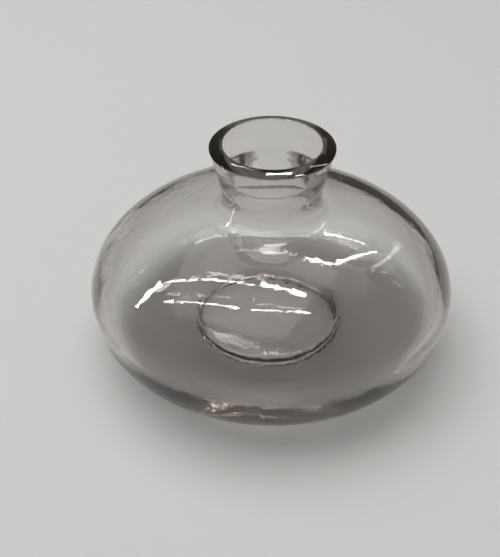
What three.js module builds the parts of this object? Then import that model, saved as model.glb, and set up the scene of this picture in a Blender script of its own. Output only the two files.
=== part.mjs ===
// Squat bud vase in smoke-grey soda glass: a flattened round body, a short flared neck and a thick rim.
// The whole vase is one piece of glass, blown in a mould: one lathed solid with an open mouth.
// Units are millimetres. +Z is up, and the origin is on the vase's axis, on the surface that it stands on.

import * as THREE from "three";

// Driving dimensions.
const BODY_RADIUS = 60;
const HEIGHT = 75.3;
const WIDEST_Z = 24.2; // height of the body's widest ring
const RIM_RADIUS = 19.4;

// Outside of the body: two superellipse quarters that meet at the widest ring.
const SHOULDER_RISE = 29.7;
const SHOULDER_POWER = 1.91;
const BELLY_DROP = 26.0; // the belly's curve is cut off by the foot before it gets this low
const BELLY_POWER = 2.48;

// Inside of the body: a wall that thins over the shoulder, and a level floor with thick glass at its corner.
const WALL = 3.2;
const CAVITY_RADIUS = BODY_RADIUS - WALL;
const CAVITY_RISE = 28.2;
const CAVITY_DROP = 18.2;
const CAVITY_POWER = 4.8;

// Neck: it sweeps up from the shoulder to a waist, and flares to the rim's outer edge.
const NECK_ROOT_RADIUS = 20;
const ROOT_LIFT = 1; // how far the sweep still climbs as it turns in from the shoulder
const WAIST_RADIUS = 15.8;
const WAIST_Z = 57.6;
const FLARE_CORNER = [16, 62]; // the flare is a bend that is pulled towards this corner
const RIM_FALL = 1.1; // the rim's top slopes down outwards from its crest by this much
const EDGE_ROUND = 0.35;

// Mouth, funnel and throat, inside the neck.
const CREST_RADIUS = 15.8;
const LIP_RADIUS = 15.1;
const LIP_DEPTH = 0.7;
const MOUTH_CORNER = [14.6, 70]; // the mouth narrows in a bend that is pulled towards this corner
const FUNNEL = [13.3, 66];
const THROAT_RADIUS = 12;
const THROAT_TOP_Z = 63;
const THROAT_Z = 60; // height of the narrowest ring
const THROAT_CORNER = [13.8, 51]; // below it, the bend to the cavity's roof is pulled towards this corner
const THROAT_FOOT_RADIUS = 20; // where that bend has become the roof

// Foot ring, the recess under the floor, and the low mound that it raises inside.
const FOOT_INNER_RADIUS = 24.6;
const RECESS_RADIUS = 22.8;
const RECESS_DEPTH = 3.4;
const RECESS_CROWN = 4.2; // height of the recess at the axis
const MOUND_FOOT_RADIUS = 26.5;
const MOUND_RADIUS = 23.5;
const MOUND_Z = 8;
const MOUND_CROWN = 8.6;
const STEP_LEVEL = 0.4; // share of a rounded step's width that is spent turning down

// Facets.
const TURN_STEPS = 64;
const BODY_STEPS = 10;
const BEND_STEPS = 4;
const ROUND_STEPS = 2;

// Height of a superellipse quarter at a radius, measured from its centre.
function quarterHeight(radius, width, height, power) {
  return height * (1 - (radius / width) ** power) ** (1 / power);
}

// Radius of the belly's curve where the foot's plane cuts it.
function footOuterRadius() {
  return BODY_RADIUS * (1 - (WIDEST_Z / BELLY_DROP) ** BELLY_POWER) ** (1 / BELLY_POWER);
}

// Points along a superellipse quarter from one angle to another, 0 being the widest ring.
// rise is its height above the widest ring, and is negative below it.
function quarter(width, rise, power, from, to) {
  return Array.from({ length: BODY_STEPS + 1 }, (_, i) => {
    const angle = from + ((to - from) * i) / BODY_STEPS;
    return new THREE.Vector2(
      width * Math.cos(angle) ** (2 / power),
      WIDEST_Z + rise * Math.sin(angle) ** (2 / power),
    );
  });
}

// Angle at which a superellipse quarter reaches a radius.
function angleAt(radius, width, power) {
  return Math.acos((radius / width) ** (power / 2));
}

// Points of a smooth bend between two points, pulled towards a corner point.
function bend(start, corner, end, steps = BEND_STEPS) {
  const [a, b, c] = [start, corner, end].map(([r, z]) => new THREE.Vector2(r, z));
  return new THREE.QuadraticBezierCurve(a, b, c).getPoints(steps);
}

// A rounded step between two levels: it leaves the first one level and reaches the second one level.
function roundedStep([startR, startZ], [endR, endZ]) {
  const turn = (endR - startR) * STEP_LEVEL;
  const middle = [(startR + endR) / 2, (startZ + endZ) / 2];
  return [
    ...bend([startR, startZ], [startR + turn, startZ], middle, ROUND_STEPS),
    ...bend(middle, [endR - turn, endZ], [endR, endZ], ROUND_STEPS),
  ];
}

// Underside: from the axis, over the recess and down its wall to the foot ring.
function underside() {
  const recessEdge = [RECESS_RADIUS, RECESS_DEPTH];
  return [
    ...bend([0, RECESS_CROWN], [RECESS_RADIUS / 2, RECESS_CROWN], recessEdge),
    ...roundedStep(recessEdge, [FOOT_INNER_RADIUS, 0]),
  ];
}

// Outside of the body, from the foot ring to the root of the neck.
function bodyOutside() {
  const footAngle = angleAt(footOuterRadius(), BODY_RADIUS, BELLY_POWER);
  const rootAngle = angleAt(NECK_ROOT_RADIUS, BODY_RADIUS, SHOULDER_POWER);
  return [
    ...quarter(BODY_RADIUS, -BELLY_DROP, BELLY_POWER, footAngle, 0),
    ...quarter(BODY_RADIUS, SHOULDER_RISE, SHOULDER_POWER, 0, rootAngle),
  ];
}

// Outside of the neck, up to the rim's outer edge, which is rounded off onto the sloping top.
function neckOutside() {
  const rootZ = WIDEST_Z + quarterHeight(NECK_ROOT_RADIUS, BODY_RADIUS, SHOULDER_RISE, SHOULDER_POWER);
  const edgeZ = HEIGHT - RIM_FALL;
  const slope = RIM_FALL / (RIM_RADIUS - CREST_RADIUS);
  const waist = [WAIST_RADIUS, WAIST_Z];
  const underEdge = [RIM_RADIUS - EDGE_ROUND / 4, edgeZ - EDGE_ROUND];
  const overEdge = [RIM_RADIUS - EDGE_ROUND, edgeZ + slope * EDGE_ROUND];
  return [
    ...bend([NECK_ROOT_RADIUS, rootZ], [WAIST_RADIUS, rootZ + ROOT_LIFT], waist),
    ...bend(waist, FLARE_CORNER, underEdge),
    ...bend(underEdge, [RIM_RADIUS, edgeZ], overEdge, ROUND_STEPS),
  ];
}

// Inside of the neck: from the rim's crest over the lip, down the mouth and throat to the cavity's roof.
function neckInside() {
  const lipFoot = [LIP_RADIUS, HEIGHT - LIP_DEPTH];
  const throat = [THROAT_RADIUS, THROAT_Z];
  const roofZ = WIDEST_Z + quarterHeight(THROAT_FOOT_RADIUS, CAVITY_RADIUS, CAVITY_RISE, SHOULDER_POWER);
  return [
    ...bend([CREST_RADIUS, HEIGHT], [LIP_RADIUS, HEIGHT], lipFoot, ROUND_STEPS),
    ...bend(lipFoot, MOUTH_CORNER, FUNNEL),
    ...bend(FUNNEL, [THROAT_RADIUS, THROAT_TOP_Z], throat),
    ...bend(throat, THROAT_CORNER, [THROAT_FOOT_RADIUS, roofZ]),
  ];
}

// Inside of the body: the cavity's roof and wall, and the mound on its floor.
function bodyInside() {
  const roofAngle = angleAt(THROAT_FOOT_RADIUS, CAVITY_RADIUS, SHOULDER_POWER);
  const floorAngle = angleAt(MOUND_FOOT_RADIUS, CAVITY_RADIUS, CAVITY_POWER);
  const moundFootZ = WIDEST_Z - quarterHeight(MOUND_FOOT_RADIUS, CAVITY_RADIUS, CAVITY_DROP, CAVITY_POWER);
  const moundEdge = [MOUND_RADIUS, MOUND_Z];
  return [
    ...quarter(CAVITY_RADIUS, CAVITY_RISE, SHOULDER_POWER, roofAngle, 0),
    ...quarter(CAVITY_RADIUS, -CAVITY_DROP, CAVITY_POWER, 0, floorAngle),
    ...roundedStep([MOUND_FOOT_RADIUS, moundFootZ], moundEdge),
    ...bend(moundEdge, [MOUND_RADIUS / 2, MOUND_CROWN], [0, MOUND_CROWN]),
  ];
}

// The closed outline, with points that two stretches share kept once.
function outline() {
  const points = [...underside(), ...bodyOutside(), ...neckOutside(), ...neckInside(), ...bodyInside()];
  const tooClose = 1e-3;
  return points.filter((point, i) => i === 0 || point.distanceTo(points[i - 1]) > tooClose);
}

function smokeGlass() {
  return new THREE.MeshStandardMaterial({
    color: new THREE.Color(0.45, 0.42, 0.41),
    roughness: 0.04,
    metalness: 0,
    transparent: true,
    opacity: 0.45,
  });
}

function glassVase() {
  const geometry = new THREE.LatheGeometry(outline(), TURN_STEPS);
  geometry.rotateX(Math.PI / 2); // the lathe turns about Y, and the vase stands along Z
  const mesh = new THREE.Mesh(geometry, smokeGlass());
  mesh.name = "glass_vase";
  return mesh;
}

const vase = new THREE.Group();
vase.add(glassVase());

export default vase;
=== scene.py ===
"""Glass bud vase: squat and round, in clear smoke-grey glass, on a plain pale floor under soft light.

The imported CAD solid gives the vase's width and height. The glass shown here is the same turned outline at a
fine step, with the faint waviness that moulded glass has on its inside, and it replaces that faceted solid.
Lengths are in metres, in the CAD's frame: +Z is up, and the origin is the middle of the foot's flat ring.
"""

import math

import bpy
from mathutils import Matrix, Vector, noise


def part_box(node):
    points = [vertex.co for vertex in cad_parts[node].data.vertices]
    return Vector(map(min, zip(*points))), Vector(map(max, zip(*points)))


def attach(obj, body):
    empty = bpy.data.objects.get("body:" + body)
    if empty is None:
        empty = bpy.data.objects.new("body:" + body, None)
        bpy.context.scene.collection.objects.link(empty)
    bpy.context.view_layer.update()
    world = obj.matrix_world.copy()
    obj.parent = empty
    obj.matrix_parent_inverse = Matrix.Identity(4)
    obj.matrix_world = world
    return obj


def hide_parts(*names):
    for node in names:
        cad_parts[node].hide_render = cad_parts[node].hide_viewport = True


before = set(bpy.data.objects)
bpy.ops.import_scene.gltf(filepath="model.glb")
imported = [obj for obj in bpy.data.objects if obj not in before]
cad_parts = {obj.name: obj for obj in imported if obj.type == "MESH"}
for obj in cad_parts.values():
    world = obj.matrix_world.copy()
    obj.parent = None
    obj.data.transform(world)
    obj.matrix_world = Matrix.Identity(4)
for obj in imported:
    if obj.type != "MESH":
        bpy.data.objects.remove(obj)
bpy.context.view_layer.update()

NODE = "glass_vase"

# Driving dimensions, from the CAD solid.
low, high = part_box(NODE)
BODY_RADIUS = (high.x - low.x) / 2
HEIGHT = high.z - low.z
MM = BODY_RADIUS / 60  # one millimetre of the vase as it is drawn

# Outside of the body: two superellipse quarters that meet at the widest ring.
WIDEST_Z = 24.2 * MM
SHOULDER_RISE = 29.7 * MM
SHOULDER_POWER = 1.91
BELLY_DROP = 26.0 * MM
BELLY_POWER = 2.48

# Inside of the body: a wall that thins over the shoulder, and a level floor with thick glass at its corner.
CAVITY_RADIUS = BODY_RADIUS - 3.2 * MM
CAVITY_RISE = 28.2 * MM
CAVITY_DROP = 18.2 * MM
CAVITY_POWER = 4.8

# Neck: a waist that flares up to the rim, whose top slopes down outwards from a crest.
# Each _CORNER_ pair is the point that a bend is pulled towards.
RIM_RADIUS = 19.4 * MM
RIM_FALL = 1.1 * MM  # how far the rim's outer edge lies below its crest
NECK_ROOT_RADIUS = 20 * MM
ROOT_LIFT = 1 * MM  # how far the neck's foot still climbs as it turns in from the shoulder
WAIST_RADIUS = 15.8 * MM
WAIST_Z = 57.6 * MM
FLARE_CORNER_RADIUS = 16 * MM
FLARE_CORNER_Z = 62 * MM
EDGE_ROUND = 0.35 * MM
EDGE_TUCK = EDGE_ROUND / 4  # how far the rim's side leans in just under its rounded edge

# Mouth, funnel and throat, inside the neck.
CREST_RADIUS = 15.8 * MM
LIP_RADIUS = 15.1 * MM
LIP_DEPTH = 0.7 * MM
MOUTH_CORNER_RADIUS = 14.6 * MM
MOUTH_CORNER_Z = 70 * MM
FUNNEL_RADIUS = 13.3 * MM
FUNNEL_Z = 66 * MM
THROAT_RADIUS = 12 * MM
THROAT_TOP_Z = 63 * MM
THROAT_Z = 60 * MM
THROAT_CORNER_RADIUS = 13.8 * MM
THROAT_CORNER_Z = 51 * MM
THROAT_FOOT_RADIUS = 20 * MM

# Foot ring, the recess under the floor, and the low mound over it inside.
FOOT_INNER_RADIUS = 24.6 * MM
RECESS_RADIUS = 22.8 * MM
RECESS_DEPTH = 3.4 * MM
RECESS_CROWN = 4.2 * MM
MOUND_FOOT_RADIUS = 26.5 * MM
MOUND_RADIUS = 23.5 * MM
MOUND_Z = 8 * MM
MOUND_CROWN = 8.6 * MM
STEP_LEVEL = 0.4  # share of a rounded step's width that is spent turning down

# Faint waviness of the inside: long waves and fine ripples.
WAVE_LENGTH = 22 * MM
WAVE_HEIGHT = 0.4 * MM
RIPPLE_LENGTH = 4 * MM
RIPPLE_HEIGHT = 0.03 * MM
CAVITY_SHIFT = -0.3 * MM  # how far the inside lies off the axis, along X
CALM_RADIUS = 6 * MM  # the waviness fades out over this distance from the rim and from the axis

# Smoke-grey soda glass: its absorption per metre is SMOKE_DENSITY times one minus SMOKE_COLOUR.
CLEAR = (1, 1, 1, 1)
GLASS_IOR = 1.5
SMOKE_COLOUR = (0.185, 0.085, 0.015, 1)
SMOKE_DENSITY = 58

# Surface of the glass: faint smudges, where the noise lies between two levels, and fine unevenness.
SMUDGE_SCALE = 60
SMUDGE_START = 0.5
SMUDGE_END = 0.75
SMUDGE_ROUGHNESS = 0.06
PEEL_SCALE = 350
PEEL_HEIGHT = 0.00003

# Mesh steps.
TURN_STEPS = 256
BODY_STEPS = 56
BEND_STEPS = 14
ROUND_STEPS = 7
SAME_POINT = 0.001 * MM

# Camera: its turn is in degrees, its lens in millimetres.
CAMERA_PLACE = Vector((0, -0.2259, 0.2026))
CAMERA_TURN = (51.52, 0.16, 1.63)
CAMERA_LENS = 54.94
CLIP_START = 0.01
CLIP_END = 20

# Floor: a near one, and just under it a far one that shows around it but not in the glass.
TABLE_SIDE = 1.2
TABLE_FRONT = 1.5
TABLE_BACK = 0.3
FAR = 6
FLOOR_GAP = 0.00008  # keeps each floor clear of what stands on it
FLOOR_COLOUR = (0.80, 0.81, 0.80, 1)
FLOOR_ROUGHNESS = 0.9

# Light: dim surroundings, one large soft light, and ceiling strips that give the glass its highlights.
WALL_COLOUR = (0.18, 0.162, 0.135, 1)
CEILING_COLOUR = (0.22, 0.22, 0.22, 1)
KEY_SIZE = 1.5
KEY_PLACE = Vector((-0.25, 0.1, 1.3))
KEY_RADIANCE = 1.9
CEILING_Z = 1.5
STRIP_RADIANCE = 30
STRIP_BOUNCES = 8
STRIPS = [  # name, the two ends on the ceiling, width
    ("row_a1", (-1.25, 0.56), (-0.76, 0.43), 0.03),
    ("row_a2", (-0.72, 0.42), (-0.15, 0.26), 0.03),
    ("row_a3", (-0.08, 0.25), (0.36, 0.13), 0.05),
    ("row_b1", (-1.5, 0.2), (-0.9, 0.07), 0.02),
    ("row_b2", (-0.85, 0.05), (-0.3, -0.1), 0.02),
    ("row_b3", (-0.2, -0.13), (0.42, -0.15), 0.02),
    ("end", (-2.9, 0.40), (-1.4, 0.58), 0.12),
    ("row_c1", (0.33, 0.70), (0.62, 0.68), 0.03),
    ("row_c2", (0.64, 0.70), (1.37, 1.43), 0.03),
    ("row_d1", (-0.5, 1.40), (-0.1, 1.24), 0.02),
    ("row_d2", (0.45, 1.27), (1.14, 1.44), 0.02),
    ("panel", (-0.06, 0.92), (0.22, 0.92), 0.16),
]

# Light paths: glass needs many.
GLASS_BOUNCES = 32
GLOSSY_BOUNCES = 16


def quarter_height(radius, width, height, power):
    """Height of a superellipse quarter at a radius, measured from its centre."""
    return height * (1 - (radius / width) ** power) ** (1 / power)


def foot_outer_radius():
    """Radius of the belly's curve where the foot's plane cuts it."""
    return BODY_RADIUS * (1 - (WIDEST_Z / BELLY_DROP) ** BELLY_POWER) ** (1 / BELLY_POWER)


def quarter(width, rise, power, start, end):
    """Points along a superellipse quarter between two angles, 0 being the widest ring.

    rise is its height above the widest ring, and is negative below it.
    """
    points = []
    for i in range(BODY_STEPS + 1):
        angle = start + (end - start) * i / BODY_STEPS
        radius = width * max(math.cos(angle), 0) ** (2 / power)
        points.append((radius, WIDEST_Z + rise * math.sin(angle) ** (2 / power)))
    return points


def angle_at(radius, width, power):
    """Angle at which a superellipse quarter reaches a radius."""
    return math.acos((radius / width) ** (power / 2))


def bend(start, corner, end, steps=BEND_STEPS):
    """Points of a smooth bend between two points, pulled towards a corner point."""
    a, b, c = Vector(start), Vector(corner), Vector(end)
    points = []
    for i in range(steps + 1):
        t = i / steps
        points.append(tuple(a * (1 - t) ** 2 + b * 2 * t * (1 - t) + c * t**2))
    return points


def rounded_step(start, end):
    """A rounded step between two levels, which leaves the first and reaches the second level."""
    turn = (end[0] - start[0]) * STEP_LEVEL
    middle = ((start[0] + end[0]) / 2, (start[1] + end[1]) / 2)
    points = bend(start, (start[0] + turn, start[1]), middle, ROUND_STEPS)
    points += bend(middle, (end[0] - turn, end[1]), end, ROUND_STEPS)
    return points


def outside_outline():
    """From the axis under the recess, over the foot ring, body and neck, to just past the rim's edge."""
    recess_edge = (RECESS_RADIUS, RECESS_DEPTH)
    points = bend((0, RECESS_CROWN), (RECESS_RADIUS / 2, RECESS_CROWN), recess_edge)
    points += rounded_step(recess_edge, (FOOT_INNER_RADIUS, 0))
    foot_angle = angle_at(foot_outer_radius(), BODY_RADIUS, BELLY_POWER)
    root_angle = angle_at(NECK_ROOT_RADIUS, BODY_RADIUS, SHOULDER_POWER)
    points += quarter(BODY_RADIUS, -BELLY_DROP, BELLY_POWER, foot_angle, 0)
    points += quarter(BODY_RADIUS, SHOULDER_RISE, SHOULDER_POWER, 0, root_angle)
    root_z = WIDEST_Z + quarter_height(NECK_ROOT_RADIUS, BODY_RADIUS, SHOULDER_RISE, SHOULDER_POWER)
    waist = (WAIST_RADIUS, WAIST_Z)
    edge_z = HEIGHT - RIM_FALL
    slope = RIM_FALL / (RIM_RADIUS - CREST_RADIUS)
    under_edge = (RIM_RADIUS - EDGE_TUCK, edge_z - EDGE_ROUND)
    over_edge = (RIM_RADIUS - EDGE_ROUND, edge_z + slope * EDGE_ROUND)
    points += bend((NECK_ROOT_RADIUS, root_z), (WAIST_RADIUS, root_z + ROOT_LIFT), waist)
    points += bend(waist, (FLARE_CORNER_RADIUS, FLARE_CORNER_Z), under_edge)
    points += bend(under_edge, (RIM_RADIUS, edge_z), over_edge, ROUND_STEPS)
    return points


def inside_outline():
    """From the rim's crest, down the mouth and throat, round the cavity and in over the mound to the axis."""
    lip_foot = (LIP_RADIUS, HEIGHT - LIP_DEPTH)
    funnel = (FUNNEL_RADIUS, FUNNEL_Z)
    throat = (THROAT_RADIUS, THROAT_Z)
    roof_z = WIDEST_Z + quarter_height(THROAT_FOOT_RADIUS, CAVITY_RADIUS, CAVITY_RISE, SHOULDER_POWER)
    points = bend((CREST_RADIUS, HEIGHT), (LIP_RADIUS, HEIGHT), lip_foot)
    points += bend(lip_foot, (MOUTH_CORNER_RADIUS, MOUTH_CORNER_Z), funnel)
    points += bend(funnel, (THROAT_RADIUS, THROAT_TOP_Z), throat)
    points += bend(throat, (THROAT_CORNER_RADIUS, THROAT_CORNER_Z), (THROAT_FOOT_RADIUS, roof_z))
    roof_angle = angle_at(THROAT_FOOT_RADIUS, CAVITY_RADIUS, SHOULDER_POWER)
    floor_angle = angle_at(MOUND_FOOT_RADIUS, CAVITY_RADIUS, CAVITY_POWER)
    mound_foot_z = WIDEST_Z - quarter_height(MOUND_FOOT_RADIUS, CAVITY_RADIUS, CAVITY_DROP, CAVITY_POWER)
    points += quarter(CAVITY_RADIUS, CAVITY_RISE, SHOULDER_POWER, roof_angle, 0)
    points += quarter(CAVITY_RADIUS, -CAVITY_DROP, CAVITY_POWER, 0, floor_angle)
    points += rounded_step((MOUND_FOOT_RADIUS, mound_foot_z), (MOUND_RADIUS, MOUND_Z))
    points += bend((MOUND_RADIUS, MOUND_Z), (MOUND_RADIUS / 2, MOUND_CROWN), (0, MOUND_CROWN))
    return points


def without_repeats(points):
    """The points, with those that two stretches share kept once."""
    kept = [points[0]]
    for point in points[1:]:
        if (Vector(point) - Vector(kept[-1])).length > SAME_POINT:
            kept.append(point)
    return kept


def waviness(place):
    """How far the inside stands out of its true shape at a place."""
    wave = WAVE_HEIGHT * noise.noise(place / WAVE_LENGTH)
    ripple = RIPPLE_HEIGHT * noise.noise(place / RIPPLE_LENGTH)
    return wave + ripple


def wavy(place, radius):
    """A place on the inside, moved by the waviness and the shift, which fade out at the rim and the axis."""
    calm = min(max((HEIGHT - place.z) / CALM_RADIUS, 0), 1) * min(radius / CALM_RADIUS, 1)
    away = Vector((place.x, place.y, place.z - WIDEST_Z)).normalized()
    return place + calm * (away * waviness(place) + Vector((CAVITY_SHIFT, 0, 0)))


def turned_points(outline, first_inside):
    """The outline turned round the axis: its first point, its rings and its last point."""
    points = [(0, 0, outline[0][1])]
    for k, (radius, z) in enumerate(outline[1:-1], start=1):
        for i in range(TURN_STEPS):
            angle = 2 * math.pi * i / TURN_STEPS
            place = Vector((radius * math.cos(angle), radius * math.sin(angle), z))
            points.append(wavy(place, radius) if k >= first_inside else place)
    points.append((0, 0, outline[-1][1]))
    return points


def turned_faces(ring_count):
    """A fan round the first point, bands between the rings, and a fan round the last point."""
    last = 1 + (ring_count - 1) * TURN_STEPS
    top = 1 + ring_count * TURN_STEPS
    faces = []
    for i in range(TURN_STEPS):
        j = (i + 1) % TURN_STEPS
        faces.append((0, 1 + j, 1 + i))
        for k in range(ring_count - 1):
            a = 1 + k * TURN_STEPS
            b = a + TURN_STEPS
            faces.append((a + i, a + j, b + j, b + i))
        faces.append((last + i, last + j, top))
    return faces


def turned_mesh(name, outside, inside):
    """A closed solid of revolution whose outline runs from axis to axis, with the waviness on its inside."""
    outline = without_repeats(outside + inside)
    first_inside = len(without_repeats(outside))
    mesh = bpy.data.meshes.new(name)
    mesh.from_pydata(turned_points(outline, first_inside), [], turned_faces(len(outline) - 2))
    mesh.shade_smooth()
    return mesh


def add_smudges(nodes, links, place, shader):
    """Faint smudges, where the glass is a little less smooth."""
    smudge = nodes.new("ShaderNodeTexNoise")
    smudge.inputs["Scale"].default_value = SMUDGE_SCALE
    smear = nodes.new("ShaderNodeMapRange")
    smear.inputs["From Min"].default_value = SMUDGE_START
    smear.inputs["From Max"].default_value = SMUDGE_END
    smear.inputs["To Max"].default_value = SMUDGE_ROUGHNESS
    links.new(place.outputs["Object"], smudge.inputs["Vector"])
    links.new(smudge.outputs["Fac"], smear.inputs["Value"])
    links.new(smear.outputs["Result"], shader.inputs["Roughness"])


def add_unevenness(nodes, links, place, shader):
    """The fine unevenness of moulded glass, which breaks up the edges of its highlights."""
    peel = nodes.new("ShaderNodeTexNoise")
    peel.inputs["Scale"].default_value = PEEL_SCALE
    bump = nodes.new("ShaderNodeBump")
    bump.inputs["Distance"].default_value = PEEL_HEIGHT
    links.new(place.outputs["Object"], peel.inputs["Vector"])
    links.new(peel.outputs["Fac"], bump.inputs["Height"])
    links.new(bump.outputs["Normal"], shader.inputs["Normal"])


def smoke_glass():
    """Clear smoke-grey soda glass, which darkens with the depth of glass that is looked through."""
    material = bpy.data.materials.new("smoke_glass")
    material.use_nodes = True
    nodes, links = material.node_tree.nodes, material.node_tree.links
    shader = nodes["Principled BSDF"]
    shader.inputs["Base Color"].default_value = CLEAR
    shader.inputs["IOR"].default_value = GLASS_IOR
    shader.inputs["Transmission Weight"].default_value = 1
    place = nodes.new("ShaderNodeTexCoord")
    add_smudges(nodes, links, place, shader)
    add_unevenness(nodes, links, place, shader)
    absorb = nodes.new("ShaderNodeVolumeAbsorption")
    absorb.inputs["Color"].default_value = SMOKE_COLOUR
    absorb.inputs["Density"].default_value = SMOKE_DENSITY
    links.new(absorb.outputs["Volume"], nodes["Material Output"].inputs["Volume"])
    return material


def vase_glass():
    """The whole vase, in place of its CAD solid."""
    mesh = turned_mesh("vase_glass", outside_outline(), inside_outline())
    mesh.materials.append(smoke_glass())
    vase = bpy.data.objects.new("vase_glass", mesh)
    bpy.context.collection.objects.link(vase)
    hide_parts(NODE)
    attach(vase, "root")


def floor_material():
    """Plain pale matt paint."""
    material = bpy.data.materials.new("floor")
    material.use_nodes = True
    shader = material.node_tree.nodes["Principled BSDF"]
    shader.inputs["Base Color"].default_value = FLOOR_COLOUR
    shader.inputs["Roughness"].default_value = FLOOR_ROUGHNESS
    shader.inputs["Specular IOR Level"].default_value = 0
    return material


def level_sheet(name, left, right, front, back, z, material):
    """A level rectangle of the stage."""
    corners = [(left, front, z), (right, front, z), (right, back, z), (left, back, z)]
    mesh = bpy.data.meshes.new(name)
    mesh.from_pydata(corners, [], [(0, 1, 2, 3)])
    mesh.materials.append(material)
    piece = bpy.data.objects.new(name, mesh)
    bpy.context.collection.objects.link(piece)
    return piece


def pale_floor():
    """A plain pale floor, whose far part doesn't show in the glass."""
    material = floor_material()
    level_sheet("floor", -TABLE_SIDE, TABLE_SIDE, -TABLE_FRONT, TABLE_BACK, -FLOOR_GAP, material)
    far = level_sheet("far_floor", -FAR, FAR, -FAR, FAR, -2 * FLOOR_GAP, material)
    far.visible_glossy = False
    far.visible_transmission = False
    far.visible_diffuse = False


def sky():
    """Dim surroundings, from the walls' warm grey at the horizon to the ceiling's grey overhead."""
    world = bpy.data.worlds.new("sky")
    bpy.context.scene.world = world
    world.use_nodes = True
    nodes, links = world.node_tree.nodes, world.node_tree.links
    place = nodes.new("ShaderNodeTexCoord")
    split = nodes.new("ShaderNodeSeparateXYZ")
    ramp = nodes.new("ShaderNodeValToRGB")
    ramp.color_ramp.elements[0].color = WALL_COLOUR
    ramp.color_ramp.elements[1].color = CEILING_COLOUR
    links.new(place.outputs["Generated"], split.inputs["Vector"])
    links.new(split.outputs["Z"], ramp.inputs["Fac"])
    links.new(ramp.outputs["Color"], nodes["Background"].inputs["Color"])


def key_light():
    """A large soft light overhead, turned to the vase, with no mirror image in the glass."""
    light = bpy.data.lights.new("key", "AREA")
    light.shape = "SQUARE"
    light.size = KEY_SIZE
    light.energy = KEY_RADIANCE * KEY_SIZE**2 * math.pi
    lamp = bpy.data.objects.new("key", light)
    lamp.location = KEY_PLACE
    lamp.rotation_euler = (-KEY_PLACE).to_track_quat("-Z", "Y").to_euler()
    lamp.visible_camera = False
    lamp.visible_glossy = False
    bpy.context.collection.objects.link(lamp)


def strip(name, start, end, width):
    """A ceiling strip light between two points, seen only in the glass."""
    start = Vector((*start, CEILING_Z))
    end = Vector((*end, CEILING_Z))
    length = (end - start).length
    light = bpy.data.lights.new(name, "AREA")
    light.shape = "RECTANGLE"
    light.size = length
    light.size_y = width
    light.energy = STRIP_RADIANCE * length * width * math.pi
    light.cycles.max_bounces = STRIP_BOUNCES
    lamp = bpy.data.objects.new(name, light)
    lamp.location = (start + end) / 2
    lamp.rotation_euler = (0, 0, math.atan2(end.y - start.y, end.x - start.x))
    lamp.visible_camera = False
    lamp.visible_diffuse = False
    bpy.context.collection.objects.link(lamp)


def strips():
    """All the ceiling strips."""
    for name, start, end, width in STRIPS:
        strip(name, start, end, width)


def camera():
    """The view of the vase from the front, looking down at it."""
    data = bpy.data.cameras.new("camera")
    data.lens = CAMERA_LENS
    data.clip_start = CLIP_START
    data.clip_end = CLIP_END
    view = bpy.data.objects.new("camera", data)
    view.location = CAMERA_PLACE
    view.rotation_euler = [math.radians(angle) for angle in CAMERA_TURN]
    bpy.context.collection.objects.link(view)
    bpy.context.scene.camera = view


def light_paths():
    """Enough bounces for light to pass through every wall of the vase."""
    cycles = bpy.context.scene.cycles
    cycles.max_bounces = GLASS_BOUNCES
    cycles.transmission_bounces = GLASS_BOUNCES
    cycles.glossy_bounces = GLOSSY_BOUNCES


camera()
vase_glass()
pale_floor()
sky()
strips()
key_light()
light_paths()
bpy.context.scene.view_settings.view_transform = "Standard"
